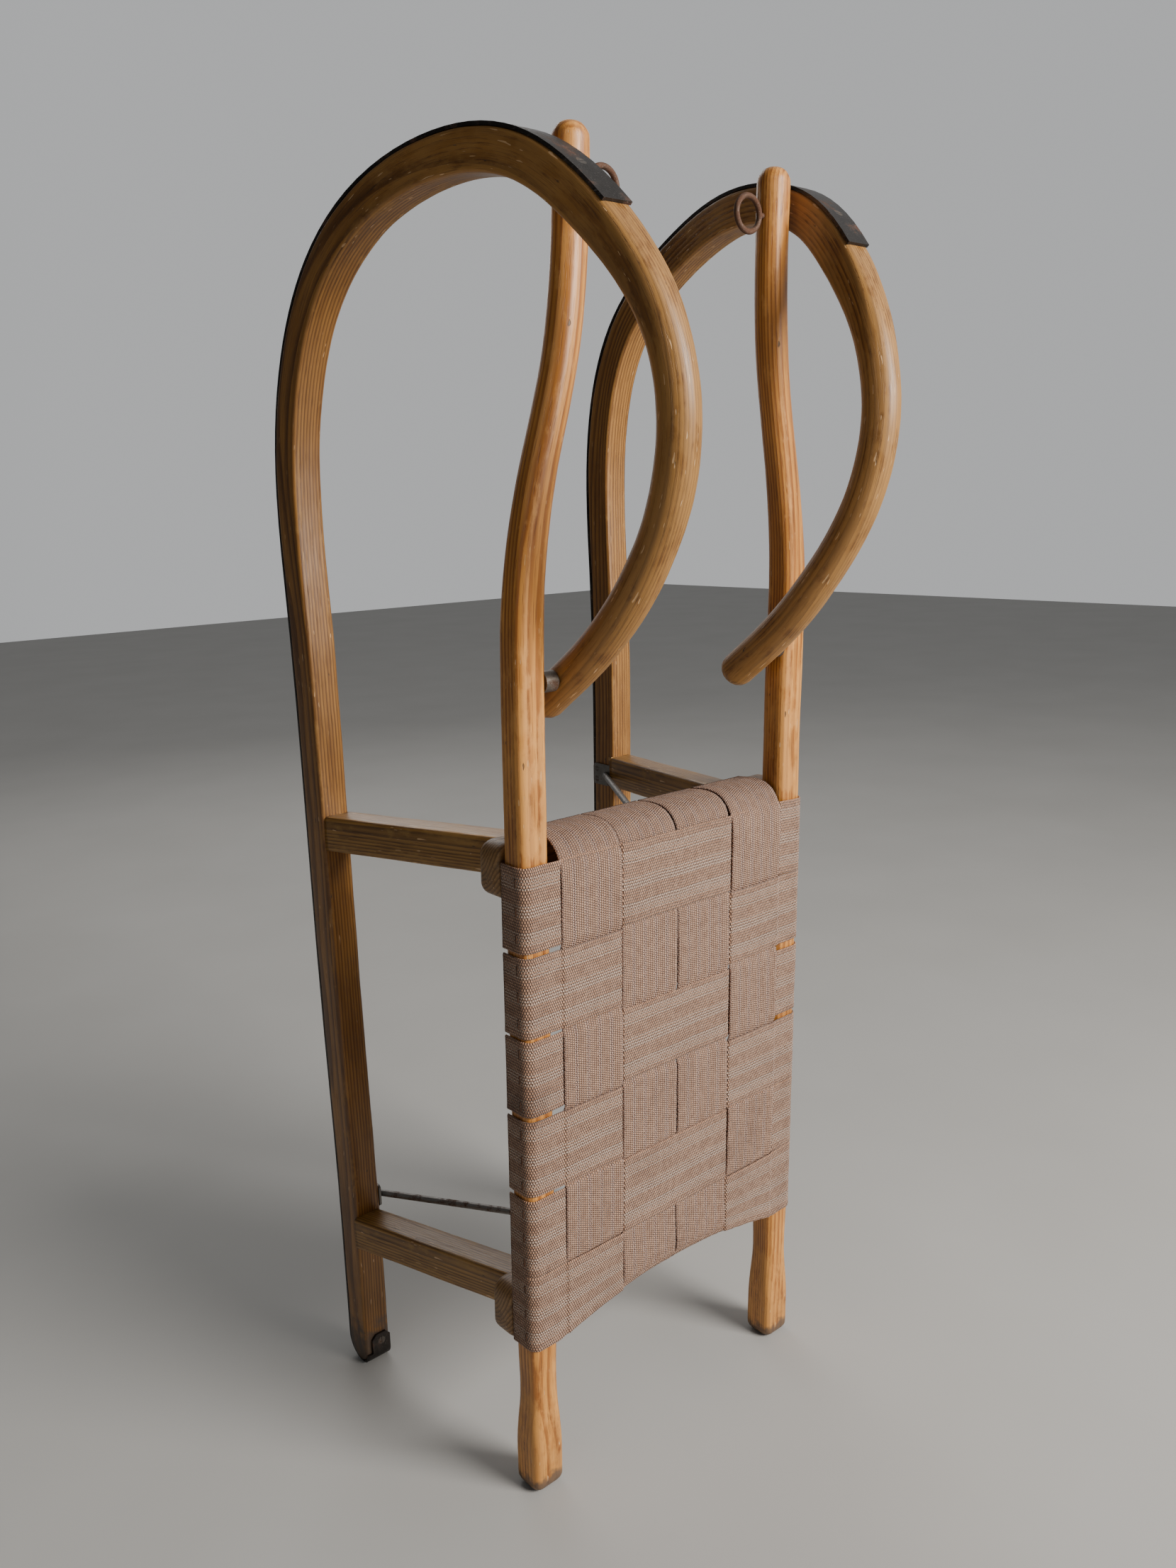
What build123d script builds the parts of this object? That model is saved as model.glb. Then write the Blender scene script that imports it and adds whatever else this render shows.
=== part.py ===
from build123d import *
import os

# Bentwood horn sled, standing upright on the tails of its runners and the feet of its seat rails.
# The direction of travel is +Z. The rider sits on the -Y side and faces +Z, with the right hand at +X.
# The origin is on the floor in the middle of the sled's footprint. Millimetres.

# ---- overall layout ----
rail_gauge = 330.0          # seat rail centre to seat rail centre
rail_foot_y = -59.5         # seat rail centre where it meets the floor
rail_lean = 0.0242          # how far the rails lean towards the rider, per unit of height
tail_x, tail_y = 185.0, 212.0

# ---- wooden members ----
rail_w, rail_d, rail_round = 31.0, 29.0, 8.0
handle_w, handle_d, handle_round = 29.0, 27.0, 9.0
foot_w, foot_d, foot_round = 35.0, 33.0, 9.0
foot_h, foot_blend, straight_top = 40.0, 96.0, 760.0
runner_w, runner_d, runner_round = 30.0, 32.0, 2.5
horn_dia, horn_tip_round = 33.0, 12.0
tail_back_r, tail_front_r = 20.0, 9.0
leg_w, leg_h, leg_round = 31.0, 35.0, 2.5
tenon_w, tenon_h, tenon_len = 15.0, 23.0, 18.0
bar_d, bar_half, bar_end_r, bar_round = 27.0, 185.0, 14.0, 5.0
front_bar_low, front_bar_high = 584.0, 634.0
rear_bar_low, rear_bar_high, rear_bar_arch = 152.0, 206.0, 15.0

# ---- iron work ----
shoe_t, shoe_w = 3.0, 28.0
turn_up, turn_up_w = 33.0, 22.0
head_r, head_h, shank_r = 4.2, 2.4, 1.9
stay_r = 3.5
plate_t, plate_l, plate_h = 2.5, 31.0, 25.0
ring_r, wire_r = 14.5, 2.5
spacer_r, spacer_len = 9.0, 12.9

# ---- webbing seat ----
web_t, clear = 2.0, 0.3
band_w, band_low, band_pitch, band_count = 74.0, 157.0, 77.4, 6
hem_rise = 20.0             # how far the lower hem arches up between the rails
strap_w = 70.0
strap_centres = {"a": -106.0, "b": -35.3, "c": 36.5, "d": 110.0}
staple_l, staple_w, staple_depth, staples_per_band = 8.0, 1.4, 9.0, 3

rail_x = rail_gauge / 2
rail_half = rail_d / 2
rail_inner = rail_x - rail_w / 2
up_rail = Vector(0, -rail_lean, 1).normalized()
forward = Vector(0, -1, -rail_lean).normalized()

# Front view of the seat: local x across, y up the rails, z out towards the rider.
seat = Plane(origin=(0, rail_foot_y, 0), x_dir=(1, 0, 0), z_dir=forward)
# Side view of the seat: local x towards the rider, y up the rails, z across to the left.
seat_side = Plane(origin=(0, rail_foot_y, 0), x_dir=forward, z_dir=(-1, 0, 0))


def rail_y(z):
    """Depth of the straight part of a seat rail at height z."""
    return rail_foot_y - rail_lean * z


def save(name, part):
    part.label = name
    export_step(part, f"parts/{name}.step")


def save_pair(name, right):
    """Write the right-hand piece and its mirror image on the left."""
    save(f"{name}_right", right)
    save(f"{name}_left", mirror(right, about=Plane.YZ))


def wood_screw(length, size=1.0):
    """Slotted countersunk screw, its head flush with the origin, driven along -Z."""
    with BuildPart(mode=Mode.PRIVATE) as screw:
        with BuildSketch(Plane.XZ):
            with BuildLine():
                Polyline(
                    (0, 0),
                    (head_r * size, 0),
                    (shank_r * size, -head_h * size),
                    (shank_r * size, -length),
                    (0, -length),
                    close=True,
                )
            make_face()
        revolve(axis=Axis.Z)
        with BuildSketch(Plane.XY):
            Rectangle(2.2 * head_r * size, 1.0)
        extrude(amount=-0.8, mode=Mode.SUBTRACT)
    return screw.part


def spread(pieces, part):
    """Place copies of a part on a list of planes, as separate solids of one node."""
    return Compound(children=[part.moved(place.location) for place in pieces])


os.makedirs("parts", exist_ok=True)

# ------------------------------------------------------------------ centreline of runner and horn
# Straight tail, long shallow bow, arch over the top; past the end of its iron shoe the wood turns
# round in section and curls forward, down and back as the horn, ending beside the seat rail.
shoe_end = (140.0, -163.0, 1111.0)
runner_points = [
    (190.0, 209.5, 400),
    (193.0, 206.5, 610),
    (195.0, 207.5, 820),
    (194.5, 204.5, 985),
    (190.5, 160.0, 1093.5),
    (184.0, 66.0, 1159.0),
    (168.0, -21.0, 1178.0),
    (156.0, -104.0, 1161.0),
    shoe_end,
]
horn_points = [
    (127.5, -201.0, 1053.0),
    (121.5, -217.0, 978.0),
    (118.5, -204.0, 913.0),
    (116.0, -163.0, 846.0),
    (118.0, -108.0, 790.0),
    (121.5, -46.0, 743.0),
]
block_h = 60.0
with BuildLine() as runner_line:
    tail_line = Line((tail_x, tail_y, block_h), (tail_x, tail_y, 150))
    bend = Spline([tail_line @ 1] + runner_points + horn_points, tangents=[(0, 0, 1), (0.02, 0.78, -0.62)])
shoe_end_u = bend.param_at_point(shoe_end)
bow = bend.trim(0, shoe_end_u)
curl = bend.trim(shoe_end_u, 1)
shod_line = Wire([tail_line, bow])
guide_shift = Location((60, 0, 0))


def across(edge, u):
    """Cross-section plane of the runner: local x along the sled's x, local y to the outside of the bend."""
    tangent = edge % u
    outward = tangent.cross(Vector(1, 0, 0))
    return Plane(origin=edge @ u, x_dir=outward.cross(tangent), z_dir=tangent)


def on_sole(edge, u):
    """Plane lying on the outer face of the shoe."""
    section = across(edge, u)
    face = section.origin + section.y_dir * (runner_d / 2 + shoe_t)
    return Plane(origin=face, x_dir=section.x_dir, z_dir=section.y_dir)


def bow_at(z):
    """Parameter of the lower bow at height z."""
    low, high = 0.0, 0.5
    while high - low > 1e-4:
        middle = (low + high) / 2
        if (bow @ middle).Z < z:
            low = middle
        else:
            high = middle
    return low


def tail_outline(grow):
    """Side view of the rounded end of the runner, grown outwards by the thickness of the shoe."""
    front, back = tail_y - runner_d / 2 - grow, tail_y + runner_d / 2 + grow
    low, high = shoe_t - grow, block_h
    r_front, r_back = tail_front_r + grow, tail_back_r + grow
    Line((front, high), (front, low + r_front))
    TangentArc((front, low + r_front), (front + r_front, low), tangent=(0, -1))
    Line((front + r_front, low), (back - r_back, low))
    TangentArc((back - r_back, low), (back, low + r_back), tangent=(1, 0))
    Line((back, low + r_back), (back, high))
    Line((back, high), (front, high))


tail_side = Plane(origin=(tail_x, 0, 0), x_dir=(0, 1, 0), z_dir=(1, 0, 0))

# ------------------------------------------------------------------ screws of the shoes
sole_spots = [on_sole(bow, u) for u in (0.03, 0.18, 0.29, 0.42, 0.55, 0.68, 0.80, 0.92, 0.97)]
turn_up_face = tail_y - runner_d / 2 - shoe_t
sole_spots.append(Plane(origin=(tail_x - 3.5, turn_up_face, 24), x_dir=(0, 0, 1), z_dir=(0, -1, 0)))
shoe_screws = spread(sole_spots, wood_screw(17))

# ------------------------------------------------------------------ legs, as straight lines between joints
legs = {
    "front": ((190.0, 190.5, 603.0), (134.0, -32.5, 611.0)),
    "rear": ((187.0, 195.5, 161.5), (147.5, -22.0, 183.0)),
}


def leg_bar(leg, width, height, extra, edge):
    """Bar along a leg's line, standing out past both its ends."""
    foot, head = Vector(*leg[0]), Vector(*leg[1])
    run = (head - foot).normalized()
    half = (head - foot).length / 2 + extra
    with BuildPart(mode=Mode.PRIVATE) as bar:
        with BuildSketch(Plane(origin=(foot + head) * 0.5, x_dir=Vector(0, 0, 1).cross(run), z_dir=run)):
            RectangleRounded(width, height, edge)
        extrude(amount=half, both=True)
    return bar.part


tenons = {name: leg_bar(leg, tenon_w, tenon_h, tenon_len, 1.0) for name, leg in legs.items()}

# ------------------------------------------------------------------ stays, screwed to runner and crossbar
stays = {"front": (598.0, 600.0), "rear": (192.0, 188.0)}
stay_parts = {}
stay_screws = {}
for name, (runner_z, bar_z) in stays.items():
    section = across(bow, bow_at(runner_z))
    at_runner = section.origin - section.x_dir * (runner_w / 2)
    at_bar = seat.from_local_coords((19, bar_z, -rail_half - bar_d))
    runner_face = Plane(origin=at_runner, x_dir=section.y_dir, z_dir=-section.x_dir)
    bar_face = Plane(origin=at_bar, x_dir=(1, 0, 0), z_dir=-forward)
    rod_from = at_runner + Vector(-plate_t, -5, 0)
    rod_to = at_bar + Vector(3, plate_t, 0)
    with BuildPart() as stay:
        for face in (runner_face, bar_face):
            with BuildSketch(face):
                RectangleRounded(plate_l, plate_h, 4)
            extrude(amount=plate_t)
        with BuildSketch(Plane(origin=rod_from, z_dir=rod_to - rod_from)):
            Circle(stay_r)
        extrude(amount=(rod_to - rod_from).length)
        with Locations(Location(rod_from), Location(rod_to)):
            Sphere(stay_r)
        for face in (runner_face, bar_face):
            with BuildSketch(face.offset(0.02)):
                Rectangle(2 * plate_l, 2 * plate_h)
            extrude(amount=-2 * stay_r, mode=Mode.SUBTRACT)
    spots = []
    for face, side in ((runner_face, 1), (bar_face, -1)):
        for along, up in ((side * 9.5, 6.0), (side * 9.5, -6.0)):
            corner = face.offset(plate_t).from_local_coords((along, up, 0))
            spots.append(Plane(origin=corner, x_dir=face.x_dir, z_dir=face.z_dir))
    stay_screws[name] = spread(spots, wood_screw(19, 0.8))
    stay_parts[name] = stay.part - stay_screws[name]

# ------------------------------------------------------------------ horn screw, spacer, screw eye
horn_screw_at = (104.0, -82.4, 771.0)
horn_screw_face = Plane(origin=horn_screw_at, x_dir=(0, 1, 1), z_dir=(-1, 0, 0))
with BuildPart() as horn_screw:
    with Locations(horn_screw_face):
        add(wood_screw(68, 1.1))
with BuildPart() as horn_hole:
    for radius, depth in ((4.8, 2.7), (2.1, 50.0)):
        with BuildSketch(horn_screw_face.offset(12)):
            Circle(radius)
        extrude(amount=-12 - depth)

eye_x, eye_y, eye_z = 84.5, -101.0, 1153.5
with BuildPart() as screw_eye:
    with Locations(Plane(origin=(eye_x, eye_y, eye_z), x_dir=(1, 0, 0), z_dir=(0, -1, 0))):
        Torus(ring_r, wire_r)
    with BuildSketch(Plane(origin=(eye_x + ring_r, eye_y, eye_z), x_dir=(0, 1, 0), z_dir=(1, 0, 0))):
        Circle(wire_r)
    extrude(amount=24)

with BuildPart() as rail_screws:
    for low, high in ((front_bar_low, front_bar_high), (rear_bar_low, rear_bar_high)):
        head_at = seat.from_local_coords((rail_x, (low + high) / 2, rail_half))
        with Locations(Plane(origin=head_at, x_dir=(1, 0, 0), z_dir=forward)):
            add(wood_screw(52))

# ------------------------------------------------------------------ seat rails
# Straight under the webbing, then swept inwards and up to a pair of dome-ended handles.
band_outer = rail_x + rail_w / 2 + clear + web_t
staple_spots = []
for band in range(band_count):
    for step in range(staples_per_band):
        height = band_low + band * band_pitch + band_w * (step + 0.5) / staples_per_band
        staple_spots.append((height, rail_half - 8.0))

with BuildPart() as staples_right:
    for height, depth in staple_spots:
        spot = seat.from_local_coords((band_outer + 0.6 - staple_depth / 2, height, depth))
        with Locations(Plane(origin=spot, x_dir=(1, 0, 0), z_dir=forward)):
            Box(staple_depth, staple_l, staple_w)

with BuildLine() as rail_line:
    handle = Spline(
        (rail_x, rail_y(straight_top), straight_top),
        (163.0, -82.0, 850),
        (148.0, -87.0, 940),
        (128.5, -93.0, 1020),
        (119.0, -97.8, 1100),
        (117.5, -102.0, 1195),
        tangents=[up_rail, (0, -0.03, 1)],
    )

with BuildPart() as seat_rail:
    with BuildSketch(Plane.XY):
        with Locations((rail_x, rail_foot_y)):
            RectangleRounded(foot_w, foot_d, foot_round)
    extrude(amount=foot_h / up_rail.Z, dir=up_rail)
    fillet(faces().sort_by(Axis.Z)[0].edges(), radius=foot_round - 3.0)
    for z, width, depth, edge in ((foot_h, foot_w, foot_d, foot_round), (foot_blend, rail_w, rail_d, rail_round)):
        with BuildSketch(Plane.XY.offset(z)):
            with Locations((rail_x, rail_y(z))):
                RectangleRounded(width, depth, edge)
    loft()
    with BuildSketch(Plane.XY.offset(foot_blend)):
        with Locations((rail_x, rail_y(foot_blend))):
            RectangleRounded(rail_w, rail_d, rail_round)
    extrude(amount=(straight_top - foot_blend) / up_rail.Z, dir=up_rail)
    for u, width, depth, edge in (
        (0.0, rail_w, rail_d, rail_round),
        (0.4, rail_w, rail_d, rail_round),
        (1.0, handle_w, handle_d, handle_round),
    ):
        with BuildSketch(Plane(origin=handle @ u, x_dir=(1, 0, 0), z_dir=(0, 0, 1))):
            RectangleRounded(width, depth, edge)
    sweep(path=Wire([handle]), multisection=True, binormal=Wire([handle]).moved(Location((0, 60, 0))))
    fillet(faces().sort_by(Axis.Z)[-1].edges(), radius=handle_round - 3.0)
    for piece in (horn_screw, screw_eye, rail_screws, staples_right):
        add(piece.part, mode=Mode.SUBTRACT)

# ------------------------------------------------------------------ runner
with BuildPart() as runner:
    with BuildSketch(tail_side):
        with BuildLine():
            tail_outline(0)
        make_face()
    extrude(amount=runner_w / 2, both=True)
    wood = edges().filter_by(lambda e: abs(abs(e.center().X - tail_x) - runner_w / 2) < 0.01)
    fillet(wood.filter_by(lambda e: e.center().Z < block_h - 1), radius=runner_round)
    with BuildSketch(across(tail_line, 0)):
        RectangleRounded(runner_w, runner_d, runner_round)
    sweep(path=shod_line, binormal=shod_line.moved(guide_shift))
    for u, width, depth, edge in (
        (0.0, runner_w, runner_d, runner_round),
        (0.2, runner_w + 1, runner_d, 8.0),
        (0.5, horn_dia, horn_dia, horn_dia / 2 - 1),
        (1.0, horn_dia, horn_dia, horn_dia / 2 - 1),
    ):
        with BuildSketch(across(curl, u)):
            RectangleRounded(width, depth, edge)
    sweep(path=Wire([curl]), multisection=True, binormal=Wire([curl]).moved(guide_shift))
    fillet(faces().sort_by_distance(horn_points[-1])[0].edges(), radius=horn_tip_round)
    whole_runner = runner.part
    for tenon in tenons.values():
        add(tenon, mode=Mode.SUBTRACT)
    for piece in (horn_hole.part, shoe_screws, *stay_screws.values()):
        add(piece, mode=Mode.SUBTRACT)

# ------------------------------------------------------------------ shoe
with BuildPart() as shoe:
    with BuildSketch(tail_side):
        with BuildLine():
            tail_outline(shoe_t)
        make_face()
        with BuildLine():
            tail_outline(0)
        make_face(mode=Mode.SUBTRACT)
    extrude(amount=shoe_w / 2, both=True)
    with BuildSketch(Plane(origin=(tail_x, tail_y - runner_d / 2, 0), x_dir=(1, 0, 0), z_dir=(0, -1, 0))):
        with BuildLine():
            inner = -shoe_w / 2
            Polyline(
                (inner - 9, 12),
                (inner, 12),
                (inner, turn_up - 5),
                (inner + 5, turn_up),
                (inner + turn_up_w - 5, turn_up),
                (inner + turn_up_w, turn_up - 5),
                (inner + turn_up_w, 12),
                (inner + shoe_w + 9, 12),
                (inner + shoe_w + 9, block_h + 9),
                (inner - 9, block_h + 9),
                close=True,
            )
        make_face()
    extrude(amount=2 * shoe_t, both=True, mode=Mode.SUBTRACT)
    sole_section = across(tail_line, 0)
    with BuildSketch(sole_section):
        with Locations((0, (runner_d + shoe_t) / 2)):
            Rectangle(shoe_w, shoe_t)
    sweep(path=shod_line, binormal=shod_line.moved(guide_shift))
    add(shoe_screws, mode=Mode.SUBTRACT)

# ------------------------------------------------------------------ crossbars
mirrored_tenons = {name: mirror(tenon, about=Plane.YZ) for name, tenon in tenons.items()}


def crossbar(name, low, high, arch):
    """Bar behind the rails, its rounded ends standing out past them, its underside arched between them."""
    with BuildPart() as bar:
        with BuildSketch(seat.offset(-rail_half)):
            with Locations((0, (low + high) / 2)):
                RectangleRounded(2 * bar_half, high - low, bar_end_r)
            if arch:
                with BuildLine():
                    ThreePointArc((-rail_inner, low), (0, low + arch), (rail_inner, low))
                    Line((rail_inner, low), (-rail_inner, low))
                make_face(mode=Mode.SUBTRACT)
        extrude(amount=-bar_d)
        rims = edges().filter_by(lambda e: abs(e.length) > 12)
        fillet(rims.group_by(Axis.Y)[0] + rims.group_by(Axis.Y)[-1], radius=bar_round)
        for tenon in (tenons[name], mirrored_tenons[name]):
            add(tenon, mode=Mode.SUBTRACT)
        for piece in (rail_screws.part, stay_screws[name]):
            add(piece, mode=Mode.SUBTRACT)
            add(mirror(piece, about=Plane.YZ), mode=Mode.SUBTRACT)
    return bar.part


front_bar = crossbar("front", front_bar_low, front_bar_high, 0)
rear_bar = crossbar("rear", rear_bar_low, rear_bar_high, rear_bar_arch)

# ------------------------------------------------------------------ legs
leg_parts = {}
for name, leg in legs.items():
    bar_back = Plane(origin=(0, rail_foot_y, 0), x_dir=(1, 0, 0), z_dir=forward).offset(-rail_half - bar_d)
    with BuildPart() as leg_part:
        add(leg_bar(leg, leg_w, leg_h, 30, leg_round))
        split(bisect_by=bar_back, keep=Keep.BOTTOM)
        runner_front = Plane(origin=leg[0], x_dir=(1, 0, 0), z_dir=(0, 1, 0))
        split(bisect_by=runner_front, keep=Keep.BOTTOM)
        add(tenons[name])
        add(whole_runner, mode=Mode.SUBTRACT)
        add(tenons[name])
    leg_parts[name] = leg_part.part

# ------------------------------------------------------------------ spacer between horn and rail
with BuildPart() as spacer:
    rail_side = Plane(origin=(rail_inner, horn_screw_at[1], horn_screw_at[2]), x_dir=(0, 1, 0), z_dir=(-1, 0, 0))
    with BuildSketch(rail_side):
        Circle(spacer_r)
        Circle(2.1, mode=Mode.SUBTRACT)
    extrude(amount=spacer_len)

# ------------------------------------------------------------------ webbing seat
staples_left = mirror(staples_right.part, about=Plane.YZ)
front_of_rail = rail_half + clear
bands = []
for band in range(band_count):
    low = band_low + band * band_pitch
    level = Plane(origin=seat.from_local_coords((0, low, 0)), x_dir=(1, 0, 0), z_dir=up_rail)
    with BuildPart() as cross_band:
        with BuildSketch(level):
            for grow, how in ((web_t, Mode.ADD), (0.0, Mode.SUBTRACT)):
                side, face = band_outer - web_t + grow, front_of_rail + grow
                corner = rail_round + clear + grow
                with BuildLine():
                    FilletPolyline((side, 13), (side, -face), (-side, -face), (-side, 13), radius=corner)
                    Line((-side, 13), (side, 13))
                make_face(mode=how)
        extrude(amount=band_w)
        if band == 0:
            with BuildSketch(seat):
                with BuildLine():
                    ThreePointArc((-rail_inner, low), (0, low + hem_rise), (rail_inner, low))
                    Polyline((rail_inner, low), (rail_inner, low - 5), (-rail_inner, low - 5), (-rail_inner, low))
                make_face()
            extrude(amount=40, mode=Mode.SUBTRACT)
        add(staples_right.part, mode=Mode.SUBTRACT)
        add(staples_left, mode=Mode.SUBTRACT)
    bands.append(cross_band.part)

# Each strap runs up behind the bands, over the front crossbar at the top and under the rear one below.
strap_face = front_of_rail - 0.4
straps = {}
for name, centre in strap_centres.items():
    outer_edge = abs(centre) + strap_w / 2
    fold = rear_bar_low + rear_bar_arch * (1 - (outer_edge / rail_inner) ** 2) - clear - 1.5
    with BuildPart() as strap:
        with BuildSketch(seat_side.offset(-centre - strap_w / 2)):
            with BuildLine():
                FilletPolyline(
                    (-rail_half - 18, front_bar_high + clear),
                    (-rail_half - 2, front_bar_high + clear),
                    (strap_face - web_t, front_bar_high - 18),
                    (strap_face - web_t, fold + 3),
                    (-rail_half - 22, fold - 1),
                    radius=2.0,
                )
                offset(amount=web_t, side=Side.LEFT)
            make_face()
        extrude(amount=strap_w)
    straps[name] = strap.part

# ------------------------------------------------------------------ write every node
save_pair("runner", runner.part)
save_pair("shoe", shoe.part)
save_pair("shoe_screws", shoe_screws)
save_pair("seat_rail", seat_rail.part)
save_pair("horn_spacer", spacer.part)
save_pair("horn_screw", horn_screw.part)
save_pair("screw_eye", screw_eye.part)
save_pair("rail_screws", rail_screws.part)
for name in legs:
    save_pair(f"leg_{name}", leg_parts[name])
    save_pair(f"stay_{name}", stay_parts[name])
    save_pair(f"stay_screws_{name}", stay_screws[name])
save("crossbar_front", front_bar)
save("crossbar_rear", rear_bar)
for number, band in enumerate(bands, 1):
    save(f"cross_band_{number}", band)
for name, strap in straps.items():
    save(f"long_strap_{name}", strap)
save_pair("band_staples", staples_right.part)
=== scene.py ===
import math

import bpy
import numpy as np
from mathutils import Matrix, Vector, noise


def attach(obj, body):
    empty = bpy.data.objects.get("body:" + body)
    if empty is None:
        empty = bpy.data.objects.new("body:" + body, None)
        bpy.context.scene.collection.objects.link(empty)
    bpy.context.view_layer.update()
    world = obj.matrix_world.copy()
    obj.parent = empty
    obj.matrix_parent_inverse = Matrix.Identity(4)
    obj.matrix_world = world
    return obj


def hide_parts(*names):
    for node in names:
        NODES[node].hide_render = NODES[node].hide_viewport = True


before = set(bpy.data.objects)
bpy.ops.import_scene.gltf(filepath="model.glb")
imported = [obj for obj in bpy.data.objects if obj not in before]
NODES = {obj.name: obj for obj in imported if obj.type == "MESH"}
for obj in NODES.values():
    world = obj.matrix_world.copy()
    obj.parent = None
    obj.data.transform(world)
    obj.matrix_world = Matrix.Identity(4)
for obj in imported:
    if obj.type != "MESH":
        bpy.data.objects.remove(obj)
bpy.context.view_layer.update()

# Bentwood horn sled standing on its runner tails and rail feet. Metres, in the CAD frame: +Z is the
# direction of travel, the rider sits on the -Y side, X runs across.
MM = 0.001

# ---------------------------------------------------------------- driving dimensions, in millimetres
RAIL_X, RAIL_FOOT_Y, LEAN = 165.0, -59.5, 0.0242
RAIL_W, RAIL_D, RAIL_R = 31.0, 29.0, 8.0
FOOT_W, FOOT_D, FOOT_H, FOOT_BLEND = 35.0, 33.0, 40.0, 100.0
HANDLE_W, HANDLE_D, HANDLE_R = 28.5, 27.0, 12.0
STRAIGHT_TOP = 760.0
RUNNER_W, RUNNER_D, RUNNER_R = 30.0, 32.0, 3.2
HORN_DIA = 33.0
TAIL_BACK_R, TAIL_FRONT_R = 20.0, 9.0
SHOE_T = 3.0
LEG_W, LEG_H, LEG_R = 31.0, 35.0, 3.5
BAR_D, BAR_HALF, BAR_END_R, BAR_R = 27.0, 185.0, 14.0, 5.0
BAND_LOW, BAND_PITCH, BAND_T, CLEAR = 157.0, 77.4, 2.0, 0.3
HEM_RISE = 20.0
STRAP_W = 70.0
STRAPS = {"a": -106.0, "b": -35.3, "c": 36.5, "d": 110.0}
# Width and sideways tilt of each cross band, lowest first: hand-nailed, so the gaps differ.
BANDS = ((77.0, 0.0), (76.6, 0.003), (73.0, -0.008), (71.0, -0.004), (73.5, 0.008), (76.0, -0.003))
WEAVE = 1.35

UP = np.array([0.0, -LEAN, 1.0]) / math.hypot(1.0, LEAN)
FORWARD = np.array([0.0, -1.0, -LEAN]) / math.hypot(1.0, LEAN)
ACROSS = np.array([1.0, 0.0, 0.0])


def seat_point(x, up, out):
    """A point given across the seat, up the rails and out towards the rider, from the rails' centre plane."""
    return np.array([0.0, RAIL_FOOT_Y, 0.0]) + ACROSS * x + UP * up + FORWARD * out


# ---------------------------------------------------------------- curves
def smooth_path(points, start, end, step=6.0):
    """Clamped cubic spline through the points, sampled evenly. start and end are the tangents."""
    p = np.array(points, float)
    n = len(p)
    h = np.linalg.norm(np.diff(p, axis=0), axis=1)
    t = np.concatenate(([0.0], np.cumsum(h)))
    lhs, rhs = np.zeros((n, n)), np.zeros((n, 3))
    lhs[0, 0] = lhs[-1, -1] = 1.0
    rhs[0], rhs[-1] = np.array(start) / np.linalg.norm(start), np.array(end) / np.linalg.norm(end)
    for i in range(1, n - 1):
        lhs[i, i - 1], lhs[i, i], lhs[i, i + 1] = h[i], 2 * (h[i - 1] + h[i]), h[i - 1]
        rhs[i] = 3 * (h[i] / h[i - 1] * (p[i] - p[i - 1]) + h[i - 1] / h[i] * (p[i + 1] - p[i]))
    m = np.linalg.solve(lhs, rhs)
    fine = np.linspace(0, t[-1], 1500)
    k = np.clip(np.searchsorted(t, fine, side="right") - 1, 0, n - 2)
    u = ((fine - t[k]) / h[k])[:, None]
    hk = h[k][:, None]
    curve = (
        (2 * u**3 - 3 * u**2 + 1) * p[k]
        + (u**3 - 2 * u**2 + u) * hk * m[k]
        + (3 * u**2 - 2 * u**3) * p[k + 1]
        + (u**3 - u**2) * hk * m[k + 1]
    )
    return evenly(curve, step)


def evenly(curve, step):
    """Resample a polyline so that its points are about one step apart."""
    length = np.concatenate(([0.0], np.cumsum(np.linalg.norm(np.diff(curve, axis=0), axis=1))))
    count = max(2, int(length[-1] / step) + 1)
    at = np.linspace(0, length[-1], count)
    return np.stack([np.interp(at, length, curve[:, i]) for i in range(3)], axis=1)


def distances(path):
    return np.concatenate(([0.0], np.cumsum(np.linalg.norm(np.diff(path, axis=0), axis=1))))


def with_stations(path, stations):
    """Insert points at the given distances along the path, so that a rounded end gets enough rings."""
    s = distances(path)
    at = np.unique(np.round(np.concatenate((s, stations)), 4))
    return np.stack([np.interp(at, s, path[:, i]) for i in range(3)], axis=1)


def dome(distance, radius):
    """How far a rounded end has drawn in, at a distance from the tip."""
    t = np.clip(distance, 0.0, radius)
    return radius - math.sqrt(max(radius**2 - (radius - t) ** 2, 0.0))


def ease(x, low, high):
    t = min(max((x - low) / (high - low), 0.0), 1.0)
    return t * t * (3 - 2 * t)


# ---------------------------------------------------------------- meshes
def make_object(name, verts, faces, material, attributes):
    mesh = bpy.data.meshes.new(name)
    mesh.from_pydata([tuple(v) for v in np.asarray(verts) * MM], [], faces)
    for key, kind, values in attributes:
        attribute = mesh.attributes.new(key, kind, "POINT")
        field = "vector" if kind == "FLOAT_VECTOR" else "value"
        attribute.data.foreach_set(field, np.asarray(values, np.float32).ravel())
    mesh.update()
    mesh.polygons.foreach_set("use_smooth", [True] * len(mesh.polygons))
    mesh.materials.append(material)
    obj = bpy.data.objects.new(name, mesh)
    bpy.context.scene.collection.objects.link(obj)
    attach(obj, "root")
    return obj


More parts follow.
